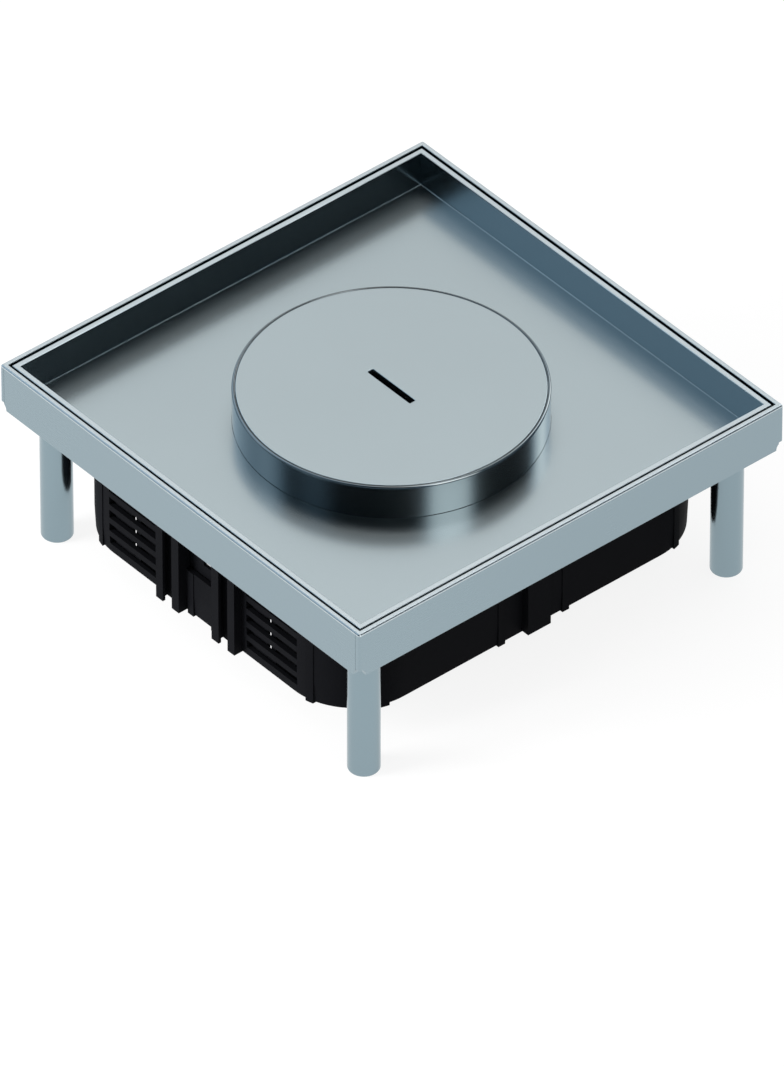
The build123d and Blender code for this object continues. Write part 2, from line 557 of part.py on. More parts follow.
# Device housing: a moulded rounded box, open above and below, with a flange that bolts
# under the frame's ledge, undercut guides and a window in its long walls, flat strips all
# round, posts on its ends, and rows of latch slots for the carriers.
guide_plane_y = housing_half_y + GUIDE_DEPTH
guide_near = WINDOW_WIDTH / 2
mouth_near = guide_near + INNER_RIB_WIDTH
guide_width = INNER_RIB_WIDTH + GUIDE_MOUTH_WIDTH + OUTER_RIB_WIDTH
mouth_mid = mouth_near + GUIDE_MOUTH_WIDTH / 2
post_plane_x = housing_half_x + POST_DEPTH
window_foot_z = housing_under_z + PANEL_HEIGHT
corner_square = block_near - FLANGE_CORNER_CLEARANCE
side_strips = (SIDE_STRIP_OFFSET_NEAR, SIDE_STRIP_OFFSET_FAR)
end_strips = (END_STRIP_OFFSET_NEAR, END_STRIP_OFFSET_FAR)
with BuildPart() as device_housing:
    with BuildSketch(Plane.XY.offset(housing_under_z + HOUSING_TAPER_HEIGHT)):
        RectangleRounded(2 * housing_half_x, 2 * housing_half_y, HOUSING_CORNER_RADIUS)
    extrude(amount=frame_under_z - housing_under_z - HOUSING_TAPER_HEIGHT)
    with BuildSketch(Plane.XY.offset(housing_under_z + HOUSING_TAPER_HEIGHT)):
        RectangleRounded(2 * housing_half_x, 2 * housing_half_y, HOUSING_CORNER_RADIUS)
    with BuildSketch(Plane.XY.offset(housing_under_z)):
        RectangleRounded(
            2 * (housing_half_x - HOUSING_TAPER),
            2 * (housing_half_y - HOUSING_TAPER),
            HOUSING_CORNER_RADIUS - HOUSING_TAPER,
        )
    loft()

    # Flat strips up the walls, whose feet stand a little below the wall's edge
    with BuildSketch(Plane.XY.offset(housing_under_z - STRIP_FOOT_DROP)):
        RectangleRounded(
            2 * (housing_half_x + STRIP_DEPTH),
            2 * (housing_half_y + STRIP_DEPTH),
            HOUSING_CORNER_RADIUS + STRIP_DEPTH,
        )
        with BuildSketch(mode=Mode.INTERSECT):
            for offset in side_strips:
                with GridLocations(2 * offset, 0, 2, 1):
                    Rectangle(STRIP_WIDTH, 2 * guide_plane_y)
            for offset in end_strips:
                with GridLocations(0, 2 * offset, 1, 2):
                    Rectangle(2 * post_plane_x, STRIP_WIDTH)
    extrude(amount=flange_under_z - housing_under_z + STRIP_FOOT_DROP)

    # Flange, cut back at the corners round the blocks
    with BuildSketch(Plane.XY.offset(flange_under_z)):
        Rectangle(2 * flange_half, 2 * flange_half)
        for side_x, side_y in corners.values():
            with Locations((side_x * flange_half, side_y * flange_half)):
                Rectangle(
                    2 * (flange_half - corner_square),
                    2 * (flange_half - corner_square),
                    mode=Mode.SUBTRACT,
                )
    extrude(amount=FLANGE_THICKNESS)

    # Guides on the long walls: a pair of ribs with an undercut groove between them
    with BuildSketch(Plane.XY.offset(housing_under_z)):
        with GridLocations(2 * guide_near + guide_width, 0, 2, 1):
            Rectangle(guide_width, 2 * guide_plane_y)
    extrude(amount=flange_under_z - housing_under_z)
    with BuildSketch(Plane.XY.offset(housing_under_z)):
        with GridLocations(2 * mouth_mid, 2 * housing_half_y + GUIDE_DEPTH, 2, 2):
            Rectangle(GUIDE_MOUTH_WIDTH, GUIDE_DEPTH)
        with GridLocations(2 * mouth_mid, 2 * housing_half_y + GUIDE_DEPTH - GUIDE_LIP, 2, 2):
            Rectangle(GUIDE_MOUTH_WIDTH + 2 * GUIDE_UNDERCUT, GUIDE_DEPTH - GUIDE_LIP)
    extrude(amount=flange_under_z - housing_under_z, mode=Mode.SUBTRACT)

    # Posts on the ends
    with BuildSketch(Plane.XY.offset(housing_under_z + POST_FOOT_RISE)):
        Rectangle(2 * post_plane_x, POST_WIDTH)
    extrude(amount=flange_under_z - housing_under_z - POST_FOOT_RISE)

    # Inside of the box, leaving a lip along each end for the carriers' feet
    with BuildSketch(Plane.XY.offset(housing_under_z - STRIP_FOOT_DROP)):
        RectangleRounded(2 * inner_half_x, 2 * inner_half_y, housing_inner_radius)
    extrude(amount=frame_under_z - housing_under_z + STRIP_FOOT_DROP, mode=Mode.SUBTRACT)
    with BuildSketch(Plane.XY.offset(housing_under_z)):
        for side in (-1, 1):
            with Locations((side * (inner_half_x - LIP_WIDTH / 2 + HOUSING_WALL / 4), 0)):
                Rectangle(LIP_WIDTH + HOUSING_WALL / 2, LIP_LENGTH)
    extrude(amount=LIP_THICKNESS)

    # Window between the guides
    with BuildSketch(Plane.XY.offset(window_foot_z)):
        Rectangle(WINDOW_WIDTH, 2 * guide_plane_y)
    extrude(amount=flange_under_z - window_foot_z, mode=Mode.SUBTRACT)

    # Latch slots through the long walls
    slot_mid_z = housing_under_z + LATCH_SLOT_FOOT + LATCH_SLOT_HEIGHT / 2
    slot_row_z = slot_mid_z + LATCH_SLOT_PITCH * (SLOT_ROWS - 1) / 2
    with BuildSketch(Plane.XZ.offset(-guide_plane_y)):
        with Locations((0, slot_row_z)):
            with GridLocations(2 * LATCH_SLOT_OFFSET, LATCH_SLOT_PITCH, 2, SLOT_ROWS):
                Rectangle(LATCH_SLOT_LENGTH, LATCH_SLOT_HEIGHT)
    extrude(amount=2 * guide_plane_y, mode=Mode.SUBTRACT)

    # Holes for the flange screws
    with BuildSketch(Plane.XY.offset(flange_under_z)):
        add(flange_circles(HOUSING_SCREW_RADIUS + HOUSING_SCREW_CLEARANCE))
    extrude(amount=FLANGE_THICKNESS, mode=Mode.SUBTRACT)
save(device_housing, "device_housing")

# Housing screws: pan heads under the flange, threads up into the ledge.
with BuildPart() as housing_screws:
    for radius, start_z, height in (
        (HOUSING_SCREW_RADIUS, flange_under_z, FLANGE_THICKNESS + LEDGE_THICKNESS - SCREW_FACE_GAP),
        (HOUSING_SCREW_HEAD_RADIUS, flange_under_z, -HOUSING_SCREW_HEAD_HEIGHT),
    ):
        with BuildSketch(Plane.XY.offset(start_z)):
            add(flange_circles(radius))
        extrude(amount=height)
    fillet(
        housing_screws.faces().filter_by(Plane.XY).group_by(Axis.Z)[0].edges(),
        HOUSING_SCREW_HEAD_HEIGHT / 3,
    )
save(housing_screws, "housing_screws")

# Device carriers: three moulded boxes side by side, open below, each with an opening for
# wiring devices in its top plate. The end carriers follow the housing's rounded corners.
carrier_names = ("front", "middle", "back")
carrier_half_x = inner_half_x - CARRIER_SIDE_GAP
carrier_half_y = inner_half_y - CARRIER_SIDE_GAP
carrier_radius = housing_inner_radius - CARRIER_SIDE_GAP
carrier_pitch = 2 * carrier_half_y / CARRIER_COUNT
seam_y = (carrier_pitch - CARRIER_GAP) / 2
carrier_height = carrier_top_z - carrier_foot_z
for index in range(CARRIER_COUNT):
    carrier_y = (index - (CARRIER_COUNT - 1) / 2) * carrier_pitch
    low_y = -carrier_half_y if index == 0 else carrier_y - seam_y
    high_y = carrier_half_y if index == CARRIER_COUNT - 1 else carrier_y + seam_y
    with BuildPart() as device_carrier:
        with BuildSketch(Plane.XY.offset(carrier_foot_z)):
            RectangleRounded(2 * carrier_half_x, 2 * carrier_half_y, carrier_radius)
            with Locations((0, (low_y + high_y) / 2)):
                Rectangle(2 * carrier_half_x, high_y - low_y, mode=Mode.INTERSECT)
        extrude(amount=carrier_height)
        with BuildSketch(Plane.XY.offset(carrier_foot_z)):
            RectangleRounded(
                2 * (carrier_half_x - CARRIER_WALL),
                2 * (carrier_half_y - CARRIER_WALL),
                carrier_radius - CARRIER_WALL,
            )
            with Locations((0, (low_y + high_y) / 2)):
                Rectangle(
                    2 * carrier_half_x,
                    high_y - low_y - 2 * CARRIER_WALL,
                    mode=Mode.INTERSECT,
                )
        extrude(amount=carrier_height - CARRIER_PLATE_THICKNESS, mode=Mode.SUBTRACT)
        with BuildSketch(Plane.XY.offset(carrier_foot_z)):
            with Locations((0, carrier_y)):
                RectangleRounded(
                    2 * (carrier_half_x - CARRIER_OPENING_END_MARGIN),
                    2 * (seam_y - CARRIER_OPENING_SIDE_MARGIN),
                    CARRIER_OPENING_RADIUS,
                )
        extrude(amount=carrier_height, mode=Mode.SUBTRACT)
        if index in (0, CARRIER_COUNT - 1):
            # Outer wall of an end carrier: a recessed latch panel and a slit beside it, twice
            outward = -1 if index == 0 else 1
            for slit_x in (-LATCH_SLIT_LEFT_OFFSET, LATCH_SLIT_RIGHT_OFFSET):
                recess_x = -outward * (slit_x + LATCH_RECESS_SETBACK + LATCH_RECESS_WIDTH / 2)
                with BuildSketch(Plane.XY.offset(carrier_foot_z)):
                    with Locations((recess_x, outward * (carrier_half_y - LATCH_RECESS_DEPTH / 2))):
                        Rectangle(
                            LATCH_RECESS_WIDTH + 2 * CARRIER_WALL,
                            LATCH_RECESS_DEPTH + 2 * CARRIER_WALL,
                        )
                    RectangleRounded(
                        2 * carrier_half_x,
                        2 * carrier_half_y,
                        carrier_radius,
                        mode=Mode.INTERSECT,
                    )
                extrude(amount=carrier_height)
                with BuildSketch(Plane.XY.offset(carrier_foot_z + CARRIER_PLATE_THICKNESS)):
                    with Locations((recess_x, outward * carrier_half_y)):
                        Rectangle(LATCH_RECESS_WIDTH, 2 * LATCH_RECESS_DEPTH)
                extrude(amount=carrier_height - 2 * CARRIER_PLATE_THICKNESS, mode=Mode.SUBTRACT)
            with BuildSketch(Plane.XZ.offset(-outward * carrier_half_y)):
                slit_z = carrier_foot_z + LATCH_SLIT_FOOT + LATCH_SLIT_HEIGHT / 2
                for slit_x in (-LATCH_SLIT_LEFT_OFFSET, LATCH_SLIT_RIGHT_OFFSET):
                    with Locations((-outward * slit_x, slit_z)):
                        Rectangle(LATCH_SLIT_WIDTH, LATCH_SLIT_HEIGHT)
                with Locations((0, carrier_foot_z + CARRIER_NOTCH_FOOT + CARRIER_NOTCH_HEIGHT / 2)):
                    Rectangle(CARRIER_NOTCH_WIDTH, CARRIER_NOTCH_HEIGHT)
            extrude(amount=outward * CARRIER_WALL, mode=Mode.SUBTRACT)
    save(device_carrier, f"device_carrier_{carrier_names[index]}")
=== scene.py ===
import math

import bmesh
import bpy
import numpy as np
from mathutils import Matrix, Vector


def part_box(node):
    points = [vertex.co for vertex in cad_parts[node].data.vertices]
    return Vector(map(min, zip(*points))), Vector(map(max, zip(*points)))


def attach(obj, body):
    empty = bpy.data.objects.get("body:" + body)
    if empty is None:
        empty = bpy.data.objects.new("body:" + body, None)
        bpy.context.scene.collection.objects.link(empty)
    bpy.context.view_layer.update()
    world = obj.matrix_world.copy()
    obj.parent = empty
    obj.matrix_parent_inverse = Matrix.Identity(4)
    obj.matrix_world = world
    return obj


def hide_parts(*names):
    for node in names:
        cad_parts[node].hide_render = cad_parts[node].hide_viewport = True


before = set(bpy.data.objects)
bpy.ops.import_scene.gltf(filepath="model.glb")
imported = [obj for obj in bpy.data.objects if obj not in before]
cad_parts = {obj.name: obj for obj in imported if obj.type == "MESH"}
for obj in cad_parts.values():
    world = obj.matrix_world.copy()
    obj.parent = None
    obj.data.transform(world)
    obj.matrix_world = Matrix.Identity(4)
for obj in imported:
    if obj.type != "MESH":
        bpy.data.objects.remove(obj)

bl_info = {
    "name": "Square floor box cover",
    "version": (1, 0, 0),
    "blender": (4, 5, 0),
    "location": "3D View > Sidebar > Floor box",
    "description": "Finishes a square steel floor box cover with its collar, lid, housing and legs",
    "category": "Mesh",
}

CORNERS = ("front_left", "front_right", "back_left", "back_right")
CARRIERS = ("device_carrier_front", "device_carrier_middle", "device_carrier_back")
MM = 0.001

# The collar's notches for the lid's lugs and the stops that end its turn, in degrees
LUGS = 3
NOTCH_MIDDLE, NOTCH_WIDTH = 40.0, 28.0
STOP_MIDDLES, STOP_WIDTH = (-15.0, 55.0), 4.0

# Folds above these angles stay sharp in the shading of surfaces made here and of copied solids
MADE_SHARP, COPY_SHARP = math.radians(35), math.radians(28)


# Sizes and colours

def length(name, text, millimetres):
    """A length property, given in millimetres and kept in metres."""
    return bpy.props.FloatProperty(
        name=name, description=text, default=millimetres * MM, min=0.0, precision=5,
        subtype="DISTANCE", unit="LENGTH")


def colour(name, text, value):
    """A linear colour property."""
    return bpy.props.FloatVectorProperty(
        name=name, description=text, default=value, size=3, min=0.0, max=1.0, subtype="COLOR")


def amount(name, text, value, top=1.0):
    """A plain number property."""
    return bpy.props.FloatProperty(name=name, description=text, default=value, min=0.0, max=top)


class FloorBoxSizes(bpy.types.PropertyGroup):
    """Sizes of the pieces that are made again as smooth surfaces."""
    collar_radius: length("Collar radius", "Outside of the collar", 76.0)
    spigot_radius: length("Spigot radius", "Collar where it passes through the tray", 75.2)
    flange_radius: length("Collar flange radius", "Flange under the tray floor", 86.5)
    flange_thickness: length("Collar flange", "Thickness of the flange", 2.5)
    collar_rim: length("Collar rim", "Width of the rim round the lid", 1.5)
    collar_edge: length("Collar edge", "Rounding of the rim's outer edge", 1.0)
    fine_edge: length("Fine edge", "Rounding of turned edges that stay crisp", 0.25)
    seat_radius: length("Seat radius", "Inside of the lid's seat", 69.6)
    seat_drop: length("Seat drop", "From the rim down to the seat", 6.6)
    seat_thickness: length("Seat thickness", "Thickness of the seat", 2.5)
    stop_height: length("Stop height", "Height of the stops under the seat", 2.8)
    stop_depth: length("Stop depth", "How far the stops stand in from the throat", 2.1)
    throat_radius: length("Throat radius", "Inside of the collar below the seat", 73.6)
    notch_radius: length("Notch radius", "Outside of the notches for the lugs", 73.4)
    tray_depth: length("Tray depth", "From the tray's rim down to its floor", 19.3)
    floor_gap: length("Collar foot gap", "From the tray floor up to the collar's foot", 0.05)
    lid_radius: length("Lid radius", "Outside of the lid plate", 74.2)
    lid_thickness: length("Lid thickness", "Thickness of the lid plate", 3.0)
    lid_edge: length("Lid edge", "Rounding of the lid's top edge", 0.3)
    slot_length: length("Slot length", "Key slot in the lid", 31.0)
    slot_width: length("Slot width", "Key slot in the lid", 3.5)
    leg_radius: length("Leg radius", "Outside of a leg", 8.0)
    leg_bore: length("Leg bore", "Radius of the bore for the screw", 5.08)
    leg_bore_floor: length("Leg bore floor", "Height of the bore's floor", 10.0)
    leg_edge: length("Leg edge", "Rounding of the foot", 1.2)
    wall: length("Frame wall", "Thickness of the frame's upright walls", 2.75)
    corner_radius: length("Frame corner", "Rounding of the frame's upright corners", 1.2)
    frame_edge: length("Frame edge", "Rounding of the frame's top outer edge", 1.0)
    relief: length("Corner relief", "Round cut at the foot of each corner", 4.3)
    seam: length("Weld seam", "Depth of the ground seam beside each corner", 0.3)
    ledge_width: length("Ledge width", "Ledge turned inwards at the frame's foot", 12.0)
    ledge_thickness: length("Ledge thickness", "Sheet thickness of the ledge", 2.0)
    block: length("Corner block", "Width of a corner block, where the ledge stops", 34.0)
    sheet_edge: length("Sheet edge", "Rounding of cut steel edges", 0.35)
    moulded_edge: length("Moulded edge", "Rounding of plastic edges", 0.25)


class FloorBoxFinish(bpy.types.PropertyGroup):
    """Colours and gloss of the finishes."""
    steel: colour("Tray steel", "Satin stainless steel of the tray and lid", (0.49, 0.56, 0.58))
    steel_roughness: amount("Tray steel roughness", "Satin blur", 0.25)
    # The wall steel is darker than the tray's floor steel: painted shade on the same folded sheet
    tray_wall_shade: colour("Tray wall steel with painted shade", "Steel of the tray's upright walls", (0.28, 0.35, 0.384))
    wall_roughness: amount("Tray wall roughness", "Blur of the tray's upright walls", 0.17)
    band: colour("Frame steel", "Satin stainless steel of the frame's faces", (0.295, 0.378, 0.418))
    band_roughness: amount("Frame steel roughness", "Satin blur", 0.27)
    # The rim steel is lighter than the tray steel: partly burnished steel, partly a painted highlight on
    # flat tops and rounded edges
    rim: colour("Burnished edge and painted highlight", "Bright steel on rounded edges", (0.60, 0.66, 0.68))
    rim_roughness: amount("Burnished edge and painted highlight roughness", "Blur of the ground edges", 0.28)
    polish: colour("Collar steel", "Turned and polished steel", (0.34, 0.375, 0.385))
    polish_roughness: amount("Collar roughness", "Polish blur", 0.09)
    leg: colour("Leg steel", "Turned steel of the legs", (0.265, 0.35, 0.39))
    leg_roughness: amount("Leg roughness", "Blur of the legs", 0.2)
    plastic: colour("Black plastic", "Moulded housing", (0.0055, 0.0058, 0.007))
    plastic_roughness: amount("Plastic roughness", "Blur of the moulded texture", 0.5)
    zinc: colour("Zinc plate", "Screws, nuts and circlips", (0.5, 0.51, 0.5))
    rubber: colour("Rubber", "Seals and gaskets", (0.014, 0.014, 0.014))


class FloorBoxStudio(bpy.types.PropertyGroup):
    """Floor, light and camera."""
    camera_azimuth: amount("Camera azimuth", "Degrees round from the front", 49.643, 360.0)
    camera_elevation: amount("Camera elevation", "Degrees above the horizon", 39.658, 90.0)
    camera_distance: length("Camera distance", "From the top of the cover", 9890.3)
    camera_right: length("Camera right", "Camera moved to its right of the middle", 0.2927)
    camera_down: length("Camera down", "Camera moved down from the middle", 70.469)
    lens_ratio: amount("Lens to sensor", "Focal length over sensor width", 19.541, 100.0)
    world_light: amount("World light", "Soft light from all round", 0.5, 5.0)
    overhead_light: amount("Overhead light", "Brightness of the overhead softbox", 1.7, 10.0)
    side_light: amount("Side light", "Power of the low softbox at the front left, in watts", 95.0, 500.0)
    high_light: amount("High light", "Brightness of the long softbox high behind", 5.6, 50.0)
    floor_glow: amount("Floor glow", "Share of the floor that stays white in shadow", 0.82)


def settings():
    """The three property groups of the scene."""
    scene = bpy.context.scene
    return scene.floor_box_sizes, scene.floor_box_finish, scene.floor_box_studio


# Surfaces worked out with numpy

def rounded_outline(corners, radii, steps=5, hold=0.25 * MM):
    """A closed outline with rounded corners, as one array of points.

    At a corner with radius r, the arc's centre is on the bisector, r / sin(half angle) from the
    corner, and its points turn evenly from one side's normal to the other's. A further point
    `hold` before and after the arc keeps the flats flat when the surface is shaded smooth.
    """
    corners = np.asarray(corners, float)
    before = np.roll(corners, 1, axis=0) - corners
    after = np.roll(corners, -1, axis=0) - corners
    before /= np.linalg.norm(before, axis=1, keepdims=True)
    after /= np.linalg.norm(after, axis=1, keepdims=True)
    pieces = []
    for corner, back, on, r in zip(corners, before, after, radii):
        half = math.acos(np.clip(back @ on, -1, 1)) / 2
        if r <= 0 or abs(math.sin(half)) > 0.9999:
            pieces.append(np.array([corner + back * hold, corner, corner + on * hold]))
            continue
        tangent = r / math.tan(half)
        bisector = (back + on) / np.linalg.norm(back + on)
        centre = corner + bisector * r / math.sin(half)
        start, end = corner + back * tangent - centre, corner + on * tangent - centre
        first = math.atan2(start[1], start[0])
        turn = (math.atan2(end[1], end[0]) - first + math.pi) % (2 * math.pi) - math.pi
        angle = first + turn * np.linspace(0, 1, steps + 1)
        arc = centre + r * np.stack([np.cos(angle), np.sin(angle)], axis=1)
        pieces.append(np.vstack([corner + back * (tangent + hold), arc, corner + on * (tangent + hold)]))
    return np.vstack(pieces)


def grid_faces(rows, columns, close_rows):
    """Quads of a grid that wraps round its columns, and round its rows too if close_rows.

    Point (i, j) has the number i * columns + j. Each quad runs j, then i, so that it faces
    outwards where the rows run anticlockwise seen with the radius to the right.
    """
    i = np.arange(rows if close_rows else rows - 1)[:, None]
    j = np.arange(columns)[None, :]
    i2, j2 = (i + 1) % rows, (j + 1) % columns
    quads = [i * columns + j, i * columns + j2, i2 * columns + j2, i2 * columns + j]
    return np.stack(quads, axis=-1).reshape(-1, 4)


def surface_object(name, *grids, close_rows=True, bright=None):
    """A mesh object from grids of points, rows by columns by 3, each wrapped round its columns.

    `bright` marks the rows whose faces take the piece's second finish. Grids that end in
    points get their poles merged.
    """
    parts, faces, first = [], [], 0
    for points in grids:
        rows, columns = points.shape[:2]
        closed = close_rows and np.ptp(points[0], axis=0).max() > 1e-9
        faces.append(grid_faces(rows, columns, closed) + first)
        parts.append(points.reshape(-1, 3))
        first += rows * columns
    mesh = bpy.data.meshes.new(name)
    mesh.from_pydata(np.concatenate(parts), [], np.concatenate(faces))
    mesh.polygons.foreach_set("use_smooth", np.ones(len(mesh.polygons), bool))
    if bright is not None:
        finish = np.zeros(len(mesh.polygons), np.int32)
        columns = grids[0].shape[1]
        finish[:len(bright) * columns] = np.repeat(bright, columns)
        for _ in range(2):
            mesh.materials.append(None)
        mesh.polygons.foreach_set("material_index", finish)
    if len(grids) > 1:
        work = bmesh.new()
        work.from_mesh(mesh)
        bmesh.ops.remove_doubles(work, verts=work.verts, dist=1e-8)
        work.to_mesh(mesh)
        work.free()
    mesh.update()
    piece = bpy.data.objects.new(name, mesh)
    bpy.context.scene.collection.objects.link(piece)
    return piece


def turned(profile, columns, centre=(0.0, 0.0)):
    """A turned surface: each profile point (r, z) goes round the axis at even angles."""
    angle = np.linspace(0, 2 * math.pi, columns, endpoint=False)
    r, z = profile[:, 0:1], profile[:, 1:2]
    x = centre[0] + r * np.cos(angle)
    y = centre[1] + r * np.sin(angle)
    return np.stack([x, y, np.broadcast_to(z, x.shape)], axis=-1)


def swept_square(half, radius, profile, foot, lift, along, seam):
    """A closed profile carried anticlockwise round a square with rounded corners.

    Profile point (n, z) lies n inside the square's faces. On a side, station u keeps its
    distance from the middle, drawn in at the ends so that it stays within the row's own
    corner. At a corner the row turns on an arc of radius `radius` less n, 0.3 mm at least.
    Rows marked in `foot` rise by `lift` at each station, and stations marked in `seam` are
    sunk by that depth in the two outer faces across Y.
    """
    n, z = profile[:, 0:1], profile[:, 1:2]
    bend = np.maximum(radius - n, 0.3 * MM)
    limit = half - n - bend
    reach = np.minimum(np.abs(along), limit - 0.02 * (half - radius - np.abs(along)))
    phi = np.radians(np.arange(15, 90, 15))
    sides = []
    for k in range(4):
        out = np.array([(0, -1), (1, 0), (0, 1), (-1, 0)][k], float)
        on = np.array([(1, 0), (0, 1), (-1, 0), (0, -1)][k], float)
        sunk = n + (n < 1e-9) * seam * (k % 2 == 0)
        level = z + foot[:, None] * lift(along)
        flat = (np.sign(along) * reach)[..., None] * on + (half - sunk)[..., None] * out
        turn = (limit + bend * np.sin(phi))[..., None] * on + (limit + bend * np.cos(phi))[..., None] * out
        raised = z + foot[:, None] * lift(np.full(len(phi), half))
        sides += [np.dstack([flat, level]), np.dstack([turn, raised])]
    return np.concatenate(sides, axis=1)


def bar(start, end, edge):
    """A straight bar between two corners of a box, its long edges rounded and its ends closed.

    The section is a rounded rectangle across the bar's longest side; at each end the last
    section shrinks to a point at its middle.
    """
    start, end = np.asarray(start, float), np.asarray(end, float)
    size = end - start
    long = int(np.argmax(np.abs(size)))
    across = [(long + 1) % 3, (long + 2) % 3]
    w, h = size[across[0]] / 2, size[across[1]] / 2
    section = rounded_outline([(-w, -h), (w, -h), (w, h), (-w, h)], [edge] * 4, 3)
    place = [(0.0, 0.0), (0.0, 0.98), (0.0, 1.0), (1.0, 1.0), (1.0, 0.98), (1.0, 0.0)]
    points = np.zeros((len(place), len(section), 3))
    for row, (share, grow) in zip(points, place):
        row[:, long] = start[long] + share * size[long]
        row[:, across] = (start + size / 2)[across] + section * grow
    return points


def inside_sector(angle, middle, width, soft):
    """1 inside a sector, 0 outside, with a straight ramp `soft` wide at its two sides."""
    away = np.abs((angle - middle + math.pi) % (2 * math.pi) - math.pi)
    return np.clip((width / 2 - away) / soft + 0.5, 0, 1)


def merged_copy(node, name):
    """A copy of a CAD node's mesh with its loose triangles joined and its flats made whole."""
    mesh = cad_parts[node].data.copy()
    mesh.name = name
    work = bmesh.new()
    work.from_mesh(mesh)
    bmesh.ops.remove_doubles(work, verts=work.verts, dist=2e-6)
    bmesh.ops.dissolve_limit(
        work, angle_limit=math.radians(0.3), verts=work.verts, edges=work.edges, delimit={"NORMAL"})
    work.to_mesh(mesh)
    work.free()
    mesh.polygons.foreach_set("use_smooth", np.ones(len(mesh.polygons), bool))
    mesh.set_sharp_from_angle(angle=COPY_SHARP)
    mesh.materials.clear()
    piece = bpy.data.objects.new(name, mesh)
    bpy.context.scene.collection.objects.link(piece)
    return piece


def soften(piece, width, segments=2, shortest=0.0, angle=40):
    """Rounds the sharp edges of a merged copy that are longer than `shortest`.

    Edge length comes from its two ends, and its fold from the normals of its two faces.
    Shading normals are weighed by face area, so that the large flats look flat.
    """
    mesh = piece.data
    count = len(mesh.edges)
    ends = np.zeros(count * 2, np.int32)
    mesh.edges.foreach_get("vertices", ends)
    points = np.zeros(len(mesh.vertices) * 3)
    mesh.vertices.foreach_get("co", points)
    points = points.reshape(-1, 3)
    ends = ends.reshape(-1, 2)
    reach = np.linalg.norm(points[ends[:, 0]] - points[ends[:, 1]], axis=1)
    normals = np.zeros(len(mesh.polygons) * 3)
    mesh.polygons.foreach_get("normal", normals)
    normals = normals.reshape(-1, 3)
    loop_edge = np.zeros(len(mesh.loops), np.int32)
    mesh.loops.foreach_get("edge_index", loop_edge)
    sizes = np.zeros(len(mesh.polygons), np.int32)
    mesh.polygons.foreach_get("loop_total", sizes)
    loop_face = np.repeat(np.arange(len(sizes)), sizes)
    order = np.argsort(loop_edge, kind="stable")
    sorted_edges = loop_edge[order]
    pair = np.flatnonzero(sorted_edges[:-1] == sorted_edges[1:])
    first, second = loop_face[order[pair]], loop_face[order[pair + 1]]
    fold = np.zeros(count)
    fold[sorted_edges[pair]] = np.degrees(
        np.arccos(np.clip((normals[first] * normals[second]).sum(axis=1), -1, 1)))
    weight = ((fold > angle) & (reach > shortest)).astype(np.float32)
    attribute = mesh.attributes.new("bevel_weight_edge", "FLOAT", "EDGE")
    attribute.data.foreach_set("value", weight)
    bevel = piece.modifiers.new("Rounded edges", "BEVEL")
    bevel.width = width
    bevel.segments = segments
    bevel.limit_method = "WEIGHT"
    bevel.use_clamp_overlap = True
    flats = piece.modifiers.new("Flat faces", "WEIGHTED_NORMAL")
    flats.keep_sharp = True


def part_faces(piece, level):
    """Gives a piece's second finish to its upward faces at a level, and its third to its walls; on the tray
    these paint a highlight on the rims and shade on the walls.
    """
    mesh = piece.data
    count = len(mesh.polygons)
    normals, centres = np.zeros(count * 3), np.zeros(count * 3)
    mesh.polygons.foreach_get("normal", normals)
    mesh.polygons.foreach_get("center", centres)
    top = (normals[2::3] > 0.9) & (centres[2::3] > level - 0.5 * MM)
    wall = np.abs(normals[2::3]) < 0.1
    for _ in range(3):
        mesh.materials.append(None)
    mesh.polygons.foreach_set("material_index", (top + 2 * wall).astype(np.int32))


# Finishes

class Nodes:
    """Short calls for building the nodes of one material or world."""

    def __init__(self, owner):
        owner.use_nodes = True
        self.owner = owner
        self.tree = owner.node_tree
        self.tree.nodes.clear()

    def add(self, kind, **values):
        """A node, with its settings and unlinked sockets set, and sockets linked where given."""
        node = self.tree.nodes.new(kind)
        for key, value in values.items():
            if key[0].isupper():
                self.put(node.inputs[key.replace("_", " ")], value)
            else:
                setattr(node, key, value)
        return node

    def put(self, socket, value):
        """Links a socket to another node's output, or sets its own value."""
        if isinstance(value, bpy.types.NodeSocket):
            self.tree.links.new(value, socket)
        else:
            socket.default_value = value

    def math(self, operation, *values):
        """A math node's output."""
        node = self.add("ShaderNodeMath", operation=operation)
        for socket, value in zip(node.inputs, values):
            self.put(socket, value)
        return node.outputs[0]

    def noise(self, vector, scale, detail=3.0, roughness=0.55):
        """A noise texture's value, centred on a half."""
        return self.add("ShaderNodeTexNoise", Vector=vector, Scale=scale, Detail=detail,
                        Roughness=roughness).outputs[0]

    def stretched(self, scale):
        """Object coordinates stretched by three factors."""
        place = self.add("ShaderNodeTexCoord").outputs["Object"]
        return self.add("ShaderNodeMapping", vector_type="POINT", Vector=place, Scale=scale).outputs[0]

    def spread(self, value, low, high):
        """The value from 0 to 1 mapped to low to high."""
        return self.add("ShaderNodeMapRange", Value=value, To_Min=low, To_Max=high).outputs[0]

    def tint(self, factor, dark, light):
        """A colour between two others."""
        node = self.add("ShaderNodeMix", data_type="RGBA")
        self.put(node.inputs[0], factor)
        self.put(node.inputs[6], (*dark, 1.0))
        self.put(node.inputs[7], (*light, 1.0))
        return node.outputs[2]

    def finish(self, surface, output="ShaderNodeOutputMaterial"):
        """Sends the shader to the output and returns the material or world."""
        out = self.add(output)
        self.tree.links.new(surface.outputs[0], out.inputs[0])
        return self.owner


